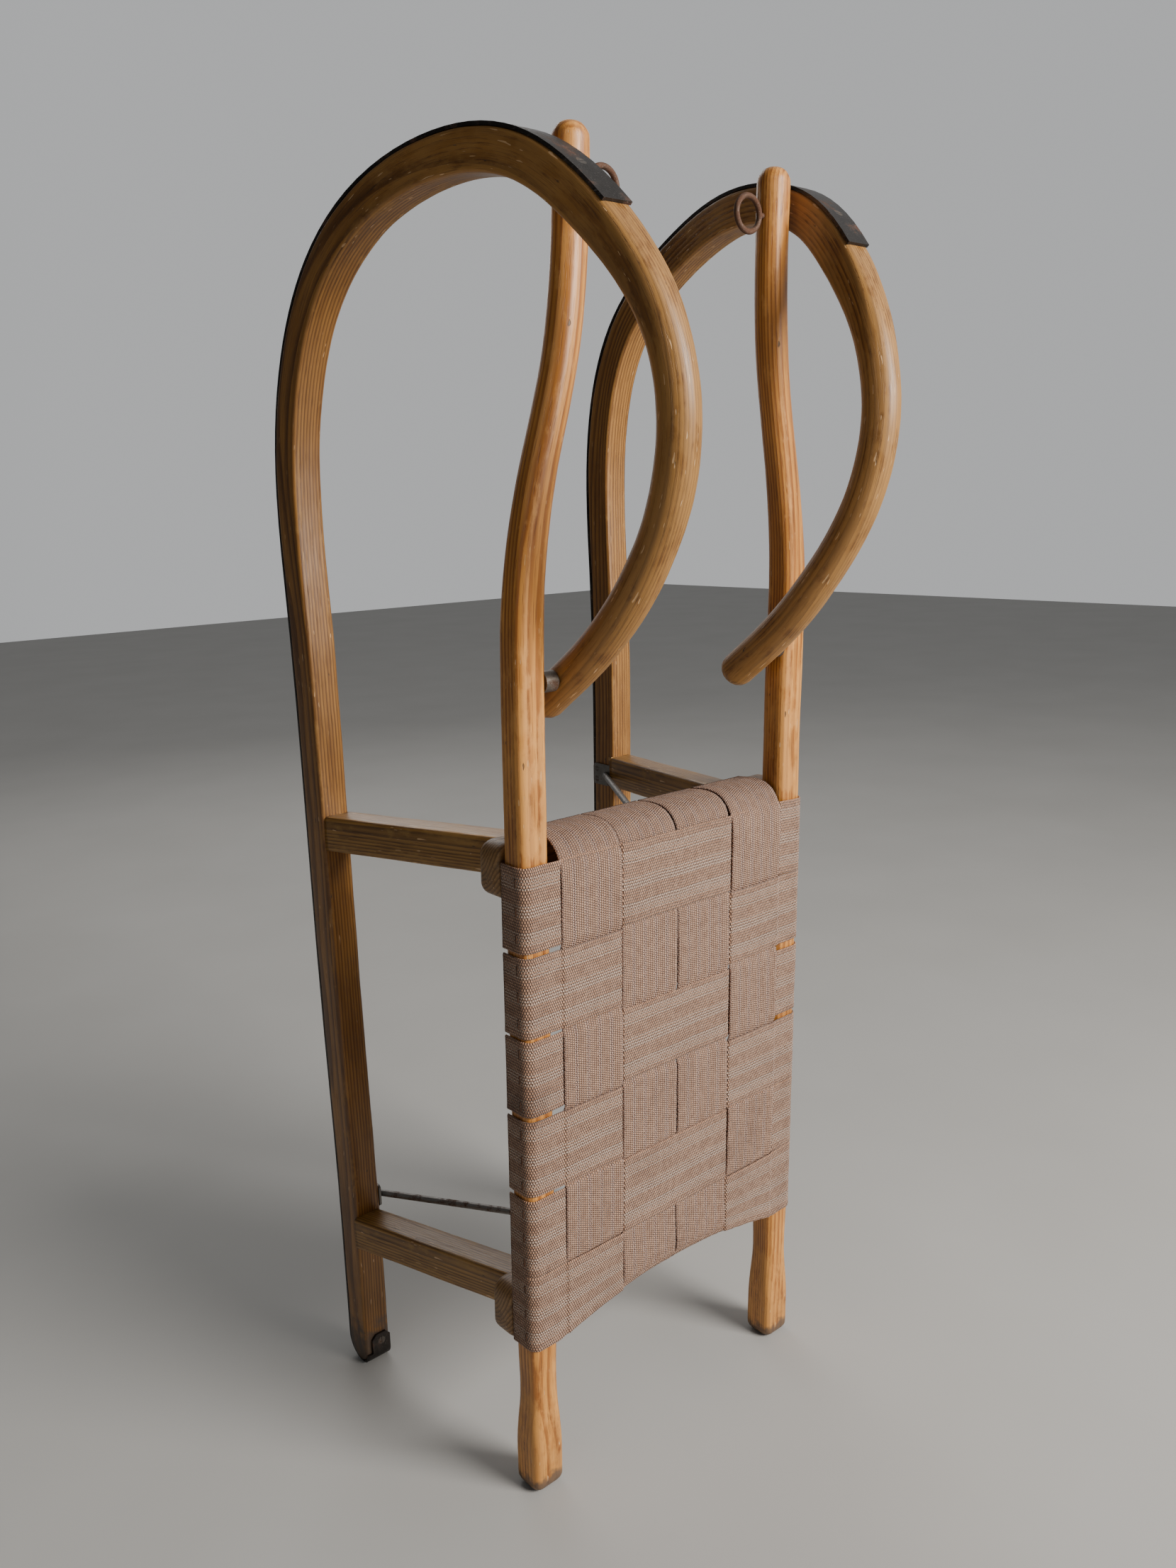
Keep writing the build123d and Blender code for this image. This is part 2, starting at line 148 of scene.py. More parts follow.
def ring(width, depth, radius, arc=4, flat=3):
    """Rounded rectangle as points, with 1 on its corners and 0 on its faces."""
    radius = min(radius, width / 2 - 0.01, depth / 2 - 0.01)
    cx, cy = width / 2 - radius, depth / 2 - radius
    points, corner = [], []
    for quarter, (sx, sy) in enumerate(((1, 1), (-1, 1), (-1, -1), (1, -1))):
        for i in range(arc + 1):
            angle = math.radians(90 * quarter + 90 * i / arc)
            points.append((sx * cx + radius * math.cos(angle), sy * cy + radius * math.sin(angle)))
            corner.append(1.0)
        nx, ny = ((-1, 1), (-1, -1), (1, -1), (1, 1))[quarter]
        end = math.radians(90 * (quarter + 1))
        target = (nx * cx + radius * math.cos(end), ny * cy + radius * math.sin(end))
        start = points[-1]
        for i in range(1, flat):
            f = i / flat
            points.append((start[0] + (target[0] - start[0]) * f, start[1] + (target[1] - start[1]) * f))
            corner.append(0.15 if flat > 2 and i in (1, flat - 1) else 0.0)
    return points, corner


def wooden_bar(name, path, section, material, reference=ACROSS, trim=None, wear=None, dirt=None, uneven=0.25):
    """Bar swept along a path. section(s, total) gives width, depth, corner radius and depth offset.
    Its grain runs along the bar: the grain attribute holds the place in the section and along it."""
    s = distances(path)
    verts, grain, corners, worn, dirty = [], [], [], [], []
    tangents = np.gradient(path, s, axis=0)
    for i, (point, tangent) in enumerate(zip(path, tangents)):
        tangent = tangent / np.linalg.norm(tangent)
        a = reference - tangent * reference.dot(tangent)
        a /= np.linalg.norm(a)
        b = np.cross(tangent, a)
        width, depth, radius, shift = section(s[i], s[-1])
        points, corner = ring(width, depth, radius)
        for (u, v), c in zip(points, corner):
            place = point + a * u + b * (v + shift)
            rough = noise.noise(Vector(place * 0.02)) * uneven
            rough += noise.noise(Vector(place * 0.11)) * uneven * 0.3
            place = place + (a * u + b * v) / max(math.hypot(u, v), 1.0) * rough
            verts.append(place)
            grain.append((u * MM, v * MM, s[i] * MM))
            corners.append(c)
            worn.append(wear(place, s[i] / s[-1]) if wear else 0.3)
            dirty.append(dirt(place) if dirt else 0.0)
    count = len(points)
    verts = np.array(verts)
    if trim:
        trim(verts, count)
    faces = []
    for i in range(len(path) - 1):
        for j in range(count):
            k = (j + 1) % count
            faces.append((i * count + j, i * count + k, (i + 1) * count + k, (i + 1) * count + j))
    faces.append(tuple(reversed(range(count))))
    faces.append(tuple(range(len(verts) - count, len(verts))))
    values = (
        ("grain", "FLOAT_VECTOR", grain),
        ("edge", "FLOAT", corners),
        ("wear", "FLOAT", worn),
        ("dirt", "FLOAT", dirty),
    )
    return make_object(name, verts, faces, material, values)


# ---------------------------------------------------------------- shader nodes
class Shader:
    """Thin wrapper that builds one node material."""

    def __init__(self, name):
        self.material = bpy.data.materials.new(name)
        self.material.use_nodes = True
        self.tree = self.material.node_tree
        self.tree.nodes.clear()

    def put(self, socket, value):
        if isinstance(value, bpy.types.NodeSocket):
            self.tree.links.new(value, socket)
        elif isinstance(value, tuple) and len(value) == 3 and socket.type == "RGBA":
            socket.default_value = (*value, 1.0)
        else:
            socket.default_value = value

    def node(self, kind, inputs=None, **props):
        made = self.tree.nodes.new("ShaderNode" + kind)
        for key, value in props.items():
            setattr(made, key, value)
        for key, value in (inputs or {}).items():
            self.put(made.inputs[key], value)
        return made

    def math(self, op, a, b=0.0, c=0.0, clamp=False):
        return self.node("Math", {0: a, 1: b, 2: c}, operation=op, use_clamp=clamp).outputs[0]

    def attribute(self, name, field="Fac"):
        return self.node("Attribute", attribute_name=name).outputs[field]

    def split(self, vector):
        return self.node("SeparateXYZ", {0: vector}).outputs[:3]

    def stretch(self, vector, scale, rotation=(0.0, 0.0, 0.0)):
        return self.node("Mapping", {"Vector": vector, "Scale": scale, "Rotation": rotation}).outputs[0]

    def noise(self, vector, scale, detail=2.0, rough=0.5):
        values = {"Vector": vector, "Scale": scale, "Detail": detail, "Roughness": rough}
        return self.node("TexNoise", values).outputs["Fac"]

    def window(self, value, low, high):
        values = {"Value": value, "From Min": low, "From Max": high}
        return self.node("MapRange", values, interpolation_type="SMOOTHSTEP").outputs[0]

    def mix(self, factor, a, b, blend="MIX"):
        made = self.node("Mix", data_type="RGBA", blend_type=blend)
        for index, value in ((0, factor), (6, a), (7, b)):
            self.put(made.inputs[index], value)
        return made.outputs[2]

    def bump(self, height, distance, strength=1.0, normal=None):
        values = {"Height": height, "Distance": distance, "Strength": strength}
        if normal:
            values["Normal"] = normal
        return self.node("Bump", values).outputs[0]

    def finish(self, **inputs):
        shader = self.node("BsdfPrincipled", {key.replace("_", " "): value for key, value in inputs.items()})
        out = self.node("OutputMaterial")
        self.tree.links.new(shader.outputs[0], out.inputs[0])
        return self.material


def wood_material(name, light, dark, pith, ring_width, gloss):
    """Ash: growth rings round a pith, open pores along the grain, old varnish, wear and dirt."""
    s = Shader(name)
    grain = s.attribute("grain", "Vector")
    a, b, along = s.split(grain)
    slow = s.stretch(grain, (1.0, 1.0, 0.10))
    bend = s.noise(slow, 14.0, 2.0)
    fine_bend = s.noise(s.stretch(grain, (1.0, 1.0, 0.05)), 90.0, 2.0)
    da = s.math("ADD", a, s.math("MULTIPLY_ADD", bend, 0.020, -pith[0] - 0.010))
    db = s.math("ADD", b, s.math("MULTIPLY_ADD", fine_bend, 0.0016, -pith[1]))
    reach = s.math("SQRT", s.math("ADD", s.math("MULTIPLY", da, da), s.math("MULTIPLY", db, db)))
    year = s.math("FRACT", s.math("DIVIDE", reach, ring_width))
    late = s.math("MULTIPLY", s.window(year, 0.25, 0.85), s.window(year, 1.0, 0.90))
    pores = s.noise(s.stretch(grain, (1.0, 1.0, 0.022)), 1500.0, 2.0, 0.6)
    pore = s.window(pores, 0.56, 0.70)
    streak = s.noise(s.stretch(grain, (1.0, 1.0, 0.03)), 330.0, 3.0, 0.6)
    patch = s.noise(s.stretch(grain, (1.0, 1.0, 0.35)), 26.0, 3.0, 0.55)
    colour = s.mix(s.math("MULTIPLY", late, 0.92), light, dark)
    colour = s.mix(s.window(streak, 0.35, 0.75), colour, s.mix(1.0, colour, (0.70, 0.64, 0.56), "MULTIPLY"))
    colour = s.mix(s.window(patch, 0.40, 0.72), colour, s.mix(1.0, colour, (0.74, 0.69, 0.60), "MULTIPLY"))
    colour = s.mix(s.math("MULTIPLY", pore, 0.80), colour, s.mix(1.0, colour, (0.38, 0.30, 0.24), "MULTIPLY"))
    # Worn places: the varnish is rubbed through to paler wood, most of all along the corners.
    edge, wear = s.attribute("edge"), s.attribute("wear")
    rub = s.noise(s.stretch(grain, (1.0, 1.0, 0.45)), 95.0, 4.0, 0.65)
    rubbed = s.math("ADD", s.math("MULTIPLY", edge, 0.16), s.math("MULTIPLY", wear, 0.30))
    bare = s.window(s.math("ADD", rub, rubbed), 0.76, 0.96)
    paler = tuple(min(1.0, c * f) for c, f in zip(light, (1.15, 1.28, 1.6)))
    colour = s.mix(s.math("MULTIPLY", bare, 0.42), colour, paler)
    # Fine pale scratches that cross the grain at an angle, and a few dark dents.
    slant = s.stretch(grain, (1.0, 1.0, 0.16), (0.5, 0.35, 0.0))
    scratch = s.window(s.noise(slant, 420.0, 1.0), 0.715, 0.745)
    scuffed = s.math("ADD", s.noise(grain, 30.0), s.math("MULTIPLY", wear, 0.22))
    scratch = s.math("MULTIPLY", scratch, s.window(scuffed, 0.52, 0.66))
    colour = s.mix(s.math("MULTIPLY", scratch, 0.75), colour, (0.70, 0.44, 0.22))
    dent = s.window(s.noise(s.stretch(grain, (1.0, 1.0, 0.30)), 210.0, 2.0), 0.735, 0.78)
    colour = s.mix(s.math("MULTIPLY", dent, 0.80), colour, (0.055, 0.034, 0.020))
    # Grime: random patches, and more of it on the feet and places near the floor.
    dirt = s.attribute("dirt")
    soot = s.window(s.math("ADD", s.noise(grain, 75.0, 4.0, 0.6), s.math("MULTIPLY", dirt, 0.62)), 0.72, 1.05)
    colour = s.mix(s.math("MULTIPLY", soot, 0.85), colour, (0.085, 0.062, 0.045))
    dull = s.math("ADD", bare, s.math("ADD", soot, pore))
    rough = s.math("ADD", gloss, s.math("MULTIPLY", dull, 0.13), clamp=True)
    height = s.math("ADD", s.math("MULTIPLY", late, 0.30), s.math("MULTIPLY", pore, -0.55))
    damage = s.math("ADD", s.math("MULTIPLY", scratch, -0.9), s.math("MULTIPLY", dent, -1.5))
    height = s.math("ADD", height, damage)
    normal = s.bump(s.noise(s.stretch(grain, (1.0, 1.0, 0.3)), 120.0, 2.0), 0.0006, 0.5)
    normal = s.bump(height, 0.00022, 1.0, normal)
    return s.finish(
        Base_Color=colour, Roughness=rough, Normal=normal,
        Coat_Weight=0.22, Coat_Roughness=0.30, Specular_IOR_Level=0.42,
    )


def metal_material(name, base, rust, rust_share, roughness, metallic=0.85):
    """Old iron or steel: rust blooms, scratches and a pitted surface."""
    s = Shader(name)
    place = s.node("TexCoord").outputs["Object"]
    cloud = s.noise(place, 55.0, 5.0, 0.65)
    speck = s.noise(place, 900.0, 3.0, 0.6)
    bloom = s.math("ADD", cloud, s.math("MULTIPLY", speck, 0.25))
    rusty = s.window(bloom, 0.80 - rust_share, 0.92 - rust_share * 0.7)
    scuff = s.window(s.noise(s.stretch(place, (1.0, 0.25, 3.0), (0.4, 0.2, 0.9)), 700.0, 1.0), 0.66, 0.74)
    colour = s.mix(s.window(cloud, 0.3, 0.7), base, tuple(c * 1.5 for c in base))
    colour = s.mix(rusty, colour, s.mix(speck, rust, tuple(c * 0.35 for c in rust)))
    colour = s.mix(s.math("MULTIPLY", scuff, 0.35), colour, (0.42, 0.39, 0.36))
    rough = s.math("ADD", roughness, s.math("MULTIPLY", rusty, 0.35), clamp=True)
    metal = s.math("MULTIPLY", s.math("SUBTRACT", 1.0, s.math("MULTIPLY", rusty, 0.9)), metallic)
    normal = s.bump(s.math("ADD", speck, s.math("MULTIPLY", cloud, 0.6)), 0.00035, 0.7)
    return s.finish(Base_Color=colour, Roughness=rough, Metallic=metal, Normal=normal)


def webbing_material(name, striped):
    """Coarse herringbone jute. The cloth attribute holds metres along and across the strip, and a seed."""
    s = Shader(name)
    along, across, seed = s.split(s.attribute("cloth", "Vector"))
    place = s.node("CombineXYZ", {0: along, 1: across, 2: seed}).outputs[0]
    drift = s.math("MULTIPLY_ADD", s.noise(place, 45.0, 2.0), 0.0024, -0.0012)
    along = s.math("ADD", along, drift)
    across = s.math("ADD", across, s.math("MULTIPLY", drift, 0.45))
    warp, weft, chevron = 0.0026, 0.0022, 0.0104
    # Columns of warp yarns; each floats over and under the weft, offset from its neighbour as a twill.
    column = s.math("DIVIDE", across, warp)
    lane = s.math("FLOOR", column)
    inside = s.math("SUBTRACT", s.math("FRACT", column), 0.5)
    step = s.math("PINGPONG", s.math("MULTIPLY", lane, 0.5), chevron / warp * 0.5)
    row = s.math("SUBTRACT", s.math("DIVIDE", along, weft), step)
    beat = s.math("SUBTRACT", s.math("FRACT", row), 0.5)
    round_yarn = s.math("SUBTRACT", 1.0, s.math("MULTIPLY", s.math("MULTIPLY", inside, inside), 4.0))
    knuckle = s.math("SUBTRACT", 1.0, s.math("MULTIPLY", s.math("MULTIPLY", beat, beat), 4.0))
    bulge = s.math("POWER", s.math("MAXIMUM", round_yarn, 0.0), 0.7)
    height = s.math("MULTIPLY", bulge, s.math("MAXIMUM", knuckle, 0.0))
    tone = s.noise(place, 160.0, 3.0, 0.6)
    fibre = s.noise(s.stretch(place, (1.0, 3.0, 1.0)), 1400.0, 3.0, 0.7)
    yarn = s.mix(s.window(tone, 0.3, 0.7), (0.46, 0.240, 0.135), (0.64, 0.375, 0.235))
    zigzag_step, zigzag_width = 0.0021, 0.0013
    zigzag = s.math("PINGPONG", s.math("DIVIDE", along, zigzag_step), 1.0)
    swing = s.math("ADD", across, s.math("MULTIPLY", s.math("SUBTRACT", zigzag, 0.5), zigzag_width))
    if striped:
        pitch, half_group, centre = 0.00305, 0.0058, 0.0244
        group = s.math("PINGPONG", s.math("ADD", across, 2 * centre * 4), centre / 2)
        in_group = s.window(group, half_group + 0.0006, half_group - 0.0006)
        line = s.math("PINGPONG", s.math("ADD", swing, pitch * 40.5), pitch / 2)
        stripe = s.math("MULTIPLY", s.window(line, 0.00070, 0.00030), in_group)
        pale = (0.86, 0.66, 0.52)
        yarn = s.mix(s.math("MULTIPLY", in_group, 0.25), yarn, (0.62, 0.37, 0.24))
    else:
        pitch = 0.0142
        pair = s.math("PINGPONG", s.math("ADD", swing, pitch * 4.5), pitch / 2)
        line = s.math("ABSOLUTE", s.math("SUBTRACT", pair, 0.0013))
        stripe = s.window(line, 0.00082, 0.00040)
        core = s.window(pair, 0.0013, 0.0005)
        pale = (0.72, 0.47, 0.34)
        yarn = s.mix(s.math("MULTIPLY", core, 0.75), yarn, (0.33, 0.150, 0.110))
    colour = s.mix(s.math("MULTIPLY", stripe, s.window(tone, 0.12, 0.42)), yarn, pale)
    shade = s.window(height, 0.02, 0.62)
    colour = s.mix(shade, s.mix(1.0, colour, (0.24, 0.17, 0.13), "MULTIPLY"), colour)
    fuzz = s.math("MULTIPLY", s.window(fibre, 0.35, 0.8), 0.35)
    colour = s.mix(fuzz, colour, s.mix(1.0, colour, (0.66, 0.58, 0.52), "MULTIPLY"))
    grime = s.window(s.noise(place, 16.0, 4.0, 0.6), 0.48, 0.74)
    soil = s.attribute("soil")
    grime = s.math("ADD", s.math("MULTIPLY", grime, 0.30), s.math("MULTIPLY", soil, 0.75), clamp=True)
    colour = s.mix(grime, colour, s.mix(1.0, colour, (0.50, 0.42, 0.35), "MULTIPLY"))
    yarn_detail = s.math("ADD", s.math("MULTIPLY", fibre, 0.25), s.math("MULTIPLY", stripe, 0.35))
    relief = s.math("ADD", height, yarn_detail)
    normal = s.bump(relief, 0.0018, 1.0)
    return s.finish(
        Base_Color=colour, Roughness=0.92, Normal=normal,
        Sheen_Weight=0.25, Sheen_Roughness=0.6, Specular_IOR_Level=0.2,
    )


# For each wood: early and late growth, the pith's place beside the bar, ring width and roughness.
RAIL_EARLY, RAIL_LATE = (0.66, 0.290, 0.062), (0.36, 0.125, 0.020)
WOOD_LOOKS = {
    # The runners' colours are darker than the rails': partly their own darker finish, partly painted shade
    # standing in for the deep shade on their sides.
    "runner_left": ((0.36, 0.168, 0.036), (0.150, 0.060, 0.011), (0.062, 0.018), 0.0030, 0.42),
    "runner_right": ((0.40, 0.190, 0.044), (0.175, 0.072, 0.014), (-0.055, 0.026), 0.0030, 0.42),
    "seat_rail_left": (RAIL_EARLY, RAIL_LATE, (0.020, 0.048), 0.0034, 0.38),
    "seat_rail_right": (RAIL_EARLY, RAIL_LATE, (-0.034, 0.052), 0.0031, 0.38),
    "legs": ((0.36, 0.185, 0.042), (0.150, 0.070, 0.014), (0.008, 0.024), 0.0030, 0.42),
    "bars": ((0.36, 0.200, 0.075), (0.165, 0.085, 0.028), (0.030, 0.030), 0.0032, 0.50),
}
WOODS = {name: wood_material(f"ash_{name}", *look) for name, look in WOOD_LOOKS.items()}
IRON = metal_material("shoe_iron", (0.040, 0.034, 0.030), (0.115, 0.050, 0.028), 0.16, 0.42)
DULL_STEEL = metal_material("screw_steel", (0.110, 0.095, 0.080), (0.130, 0.060, 0.030), 0.20, 0.45)
STAY_STEEL = metal_material("stay_steel", (0.170, 0.160, 0.150), (0.140, 0.070, 0.038), 0.17, 0.48)
RUST = metal_material("rusted_eye", (0.090, 0.050, 0.032), (0.150, 0.066, 0.034), 0.32, 0.60, 0.6)
BAND_CLOTH, STRAP_CLOTH = webbing_material("webbing_striped", True), webbing_material("webbing_ribbed", False)

# ---------------------------------------------------------------- runners with their horns
TAIL_X, TAIL_Y = 185.0, 212.0
SHOE_END = (140.0, -163.0, 1111.0)
RUNNER_POINTS = (
    (TAIL_X, TAIL_Y, SHOE_T + 0.2),
    (TAIL_X, TAIL_Y, 80.0),
    (TAIL_X, TAIL_Y, 150.0),
    (190.0, 209.5, 400.0),
    (193.0, 206.5, 610.0),
    (195.0, 207.5, 820.0),
    (194.5, 204.5, 985.0),
    (190.5, 160.0, 1093.5),
    (184.0, 66.0, 1159.0),
    (168.0, -21.0, 1178.0),
    (156.0, -104.0, 1161.0),
    SHOE_END,
    (127.5, -201.0, 1053.0),
    (121.5, -217.0, 978.0),
    (118.5, -204.0, 913.0),
    (116.0, -163.0, 846.0),
    (118.0, -108.0, 790.0),
    (121.5, -46.0, 743.0),
)
SIDES = {"right": 1.0, "left": -1.0}


def mirrored(points, side):
    return np.array(points, float) * np.array([side, 1.0, 1.0])


def build_runner(side_name, side):
    path = smooth_path(mirrored(RUNNER_POINTS, side), (0, 0, 1), (0.02 * side, 0.78, -0.62))
    s = distances(path)
    tail_rings, tip_rings = (0.6, 1.5, 3, 5, 8, 11, 15, 20), (0.3, 0.9, 2, 4, 7, 10, 13)
    path = with_stations(path, [*tail_rings, *(s[-1] - d for d in tip_rings)])
    s = distances(path)
    shoe_at = s[np.argmin(np.linalg.norm(path - mirrored(SHOE_END, side), axis=1))]

    def section(at, total):
        back, front = dome(at, TAIL_BACK_R), dome(at, TAIL_FRONT_R)
        tip = dome(total - at, 13.0)
        blend = ease(at, shoe_at - 30.0, shoe_at + 130.0)
        width = RUNNER_W + (HORN_DIA - RUNNER_W) * blend - 2 * tip
        depth = RUNNER_D + (HORN_DIA - RUNNER_D) * blend - 2 * tip - back - front
        corner = RUNNER_R + (HORN_DIA / 2 - 0.6 - RUNNER_R) * blend
        return width, depth, corner, (front - back) / 2

    def wear(place, share):
        return 0.25 + 0.75 * ease(share, 0.60, 0.66)

    def dirt(place):
        return 1.0 - ease(place[2], 5.0, 90.0)

    piece = wooden_bar(
        f"bent_runner_{side_name}", path, section, WOODS[f"runner_{side_name}"],
        wear=wear, dirt=dirt, uneven=0.45,
    )
    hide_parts(f"runner_{side_name}")


# ---------------------------------------------------------------- seat rails
HANDLE_POINTS = (
    (163.0, -82.0, 850.0),
    (148.0, -87.0, 940.0),
    (128.5, -93.0, 1020.0),
    (119.0, -97.8, 1100.0),
    (117.5, -102.0, 1194.5),
)


def build_rail(side_name, side):
    heights = (0.2, STRAIGHT_TOP * 0.35, STRAIGHT_TOP * 0.7, STRAIGHT_TOP)
    straight = [seat_point(RAIL_X, up, 0.0) for up in heights]
    path = smooth_path(mirrored(straight + list(HANDLE_POINTS), side), UP, (0, -0.03, 1), 7.0)
    total = distances(path)[-1]
    foot_rings, top_rings = (0.4, 1.2, 2.5, 4.5, 7, 10, 14), (0.3, 1, 2.2, 4, 6.5, 9.5, 13)
    path = with_stations(path, [*foot_rings, *(total - d for d in top_rings)])

    def section(at, length):
        foot = 1.0 - ease(at, FOOT_H, FOOT_BLEND)
        waist = math.exp(-(((at - 112.0) / 26.0) ** 2))
        grip = ease(at, 780.0, 1010.0)
        low, top = dome(at, 9.0), dome(length - at, 12.0)
        shrink = 2 * (low * 0.85 + top * 0.9)
        width = RAIL_W + (FOOT_W - RAIL_W) * foot + (HANDLE_W - RAIL_W) * grip - 1.2 * waist - shrink
        depth = RAIL_D + (FOOT_D - RAIL_D) * foot + (HANDLE_D - RAIL_D) * grip - 1.0 * waist - shrink
        return width, depth, RAIL_R + (HANDLE_R - RAIL_R) * grip - 1.0 * foot, 0.0

    def wear(place, share):
        low = 1.0 - ease(place[2], 60.0, 170.0)
        lap = ease(place[2], 600.0, 640.0) * (1 - ease(place[2], 700.0, 860.0))
        return 0.25 + 0.7 * max(low, lap, ease(place[2], 1060.0, 1180.0) * 0.6)

    def dirt(place):
        return 1.0 - ease(place[2], 0.0, 34.0)

    piece = wooden_bar(
        f"seat_rail_wood_{side_name}", path, section, WOODS[f"seat_rail_{side_name}"],
        wear=wear, dirt=dirt, uneven=0.4,
    )
    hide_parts(f"seat_rail_{side_name}")


# ---------------------------------------------------------------- crossbars
BARS = {"front": (584.0, 634.0, 0.0), "rear": (152.0, 206.0, 15.0)}


def build_crossbar(name, low, high, arch):
    depth_centre = -RAIL_D / 2 - BAR_D / 2
    inner = RAIL_X - RAIL_W / 2
    steps = np.concatenate((np.linspace(-BAR_HALF, -BAR_HALF + BAR_END_R, 9), np.linspace(-165, 165, 34)))
    steps = np.unique(np.round(np.concatenate((steps, -steps)), 3))
    path = np.array([seat_point(x, (low + high) / 2, depth_centre) for x in steps])

    def section(at, total):
        x = at - BAR_HALF
        end = dome(min(at, total - at), BAR_END_R)
        side = dome(min(at, total - at), BAR_R)
        rise = arch * (1 - (x / inner) ** 2) if abs(x) < inner else 0.0
        return BAR_D - 2 * side, high - low - 2 * end - rise, BAR_R, rise / 2

    def dirt(place):
        return 0.35

    piece = wooden_bar(
        f"yoke_bar_{name}", path, section, WOODS["bars"], reference=-FORWARD, dirt=dirt, uneven=0.3
    )
    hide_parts(f"crossbar_{name}")


# ---------------------------------------------------------------- legs
LEGS = {
    "front": ((190.0, 190.5, 603.0), (134.0, -32.5, 611.0)),
    "rear": ((187.0, 195.5, 161.5), (147.5, -22.0, 183.0)),
}


def build_leg(name, side_name, side):
    foot, head = mirrored(LEGS[name], side)
    run = (head - foot) / np.linalg.norm(head - foot)
    path = evenly(np.array([foot - run * 6, head + run * 6]), 7.0)
    back_of_bar = -RAIL_D / 2 - BAR_D

    def trim(verts, count):
        """Cut both ends flush: one against the runner's face, the other against the back of the crossbar."""
        for i in range(count):
            verts[i] += run * ((foot[1] + 0.8 - verts[i][1]) / run[1])
            last = len(verts) - count + i
            gap = (verts[last] - seat_point(0, 0, back_of_bar + 0.8)).dot(FORWARD)
            verts[last] -= run * (gap / run.dot(FORWARD))

    def section(at, total):
        return LEG_H, LEG_W, LEG_R, 0.0

    def wear(place, share):
        return 0.55

    piece = wooden_bar(
        f"yoke_leg_{name}_{side_name}", path, section, WOODS["legs"], reference=np.array([0.0, 0.0, 1.0]),
        trim=trim, wear=wear, uneven=0.3,
    )
    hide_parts(f"leg_{name}_{side_name}")


for side_name, side in SIDES.items():
    build_runner(side_name, side)
    build_rail(side_name, side)
    for leg_name in LEGS:
        build_leg(leg_name, side_name, side)
for bar_name, (low, high, arch) in BARS.items():
    build_crossbar(bar_name, low, high, arch)

# ---------------------------------------------------------------- webbing
ROWS = len(BANDS)
FACE = RAIL_D / 2 + CLEAR + BAND_T / 2
OUTER = RAIL_X + RAIL_W / 2 + CLEAR + BAND_T / 2
CORNER = RAIL_R + CLEAR + BAND_T / 2
STRAP_EDGES = [(c - STRAP_W / 2, c + STRAP_W / 2) for c in STRAPS.values()]


def strap_over(strap, row):
    """The outer straps pass over the odd rows counted from the top, the middle pair over the even ones."""
    from_top = ROWS - row
    return (from_top % 2 == 1) == (strap in (0, 3))


def band_lift(x, row):
    """How far the band stands out, at a place across the seat."""
    outer = -1.0 if strap_over(0, row) else 1.0
    levels = (0.0, outer, -outer, outer, 0.0)
    between = [(STRAP_EDGES[i][1] + STRAP_EDGES[i + 1][0]) / 2 for i in (0, 2)]
    crossings = (STRAP_EDGES[0][0], *between, STRAP_EDGES[3][1])
    lift = sum((b - a) * ease(x, at - 1.8, at + 1.8) for at, a, b in zip(crossings, levels, levels[1:]))
    return lift * WEAVE


def strap_lift(up, strap):
    """How far a strap stands out, at a height up the seat."""
    lift = 0.0
    for row, (width, _) in enumerate(BANDS):
        low = BAND_LOW + row * BAND_PITCH
        inside = ease(up, low - 2.0, low + 1.5) * (1 - ease(up, low + width - 1.5, low + width + 2.0))
        if inside > 0.02:
            lift = inside if strap_over(strap, row) else -inside
    return lift * WEAVE


def cloth_strip(name, centre, normal, sides, across, material, along, lift, soil, seed, width):
    """Closed strip of webbing on a grid, with a centre, a normal and a side direction per step along it."""
    rows, columns = len(centre), len(across)
    top, bottom, cloth, dirty = [], [], [], []
    for i in range(rows):
        for j, v in enumerate(across):
            share = v / width
            wander = noise.noise(Vector((along[i] * 0.03, seed, 0.0))) * 0.9 + noise.noise(
                Vector((along[i] * 0.35, seed + 9.0, 1.0 if v > 0 else 5.0))
            ) * 0.45 * abs(share) * 2
            place = centre[i] + sides[i] * (v + wander) + lift(i, v)
            wave = noise.noise(Vector((along[i] * 0.018, v * 0.03, seed))) * 0.55
            wave += noise.noise(Vector((along[i] * 0.12, v * 0.10, seed + 3))) * 0.22
            # The selvedge is a little thicker than the middle and rounds over at the very edge.
            selvedge, rim_round = ease(abs(share), 0.40, 0.47), ease(abs(share), 0.485, 0.5)
            thick = BAND_T * (0.86 + 0.20 * selvedge) * (1 - 0.45 * rim_round)
            out = normal[i]
            top.append(place + out * (thick / 2 + wave * 0.5))
            bottom.append(place - out * (thick / 2 - wave * 0.5))
            cloth.append((along[i] * MM, v * MM, seed * 0.37))
            dirty.append(soil(place, along[i], v))
    verts = top + bottom
    offset = rows * columns
    faces = []
    for i in range(rows - 1):
        for j in range(columns - 1):
            a, d = i * columns + j, (i + 1) * columns + j
            b, c = a + 1, d + 1
            faces.append((a, b, c, d))
            faces.append((offset + d, offset + c, offset + b, offset + a))
    rim = list(range(columns)) + [(i + 1) * columns - 1 for i in range(1, rows)]
    rim += [(rows - 1) * columns + j for j in range(columns - 2, -1, -1)]
    rim += [i * columns for i in range(rows - 2, 0, -1)]
    for k, a in enumerate(rim):
        b = rim[(k + 1) % len(rim)]
        faces.append((b, a, offset + a, offset + b))
    values = (("cloth", "FLOAT_VECTOR", cloth * 2), ("soil", "FLOAT", dirty * 2))
    return make_object(name, verts, faces, material, values)


def steps_across(width, count=22):
    inner = np.linspace(-width / 2 + 1.2, width / 2 - 1.2, count)
    return np.concatenate(([-width / 2, -width / 2 + 0.5], inner, [width / 2 - 0.5, width / 2]))


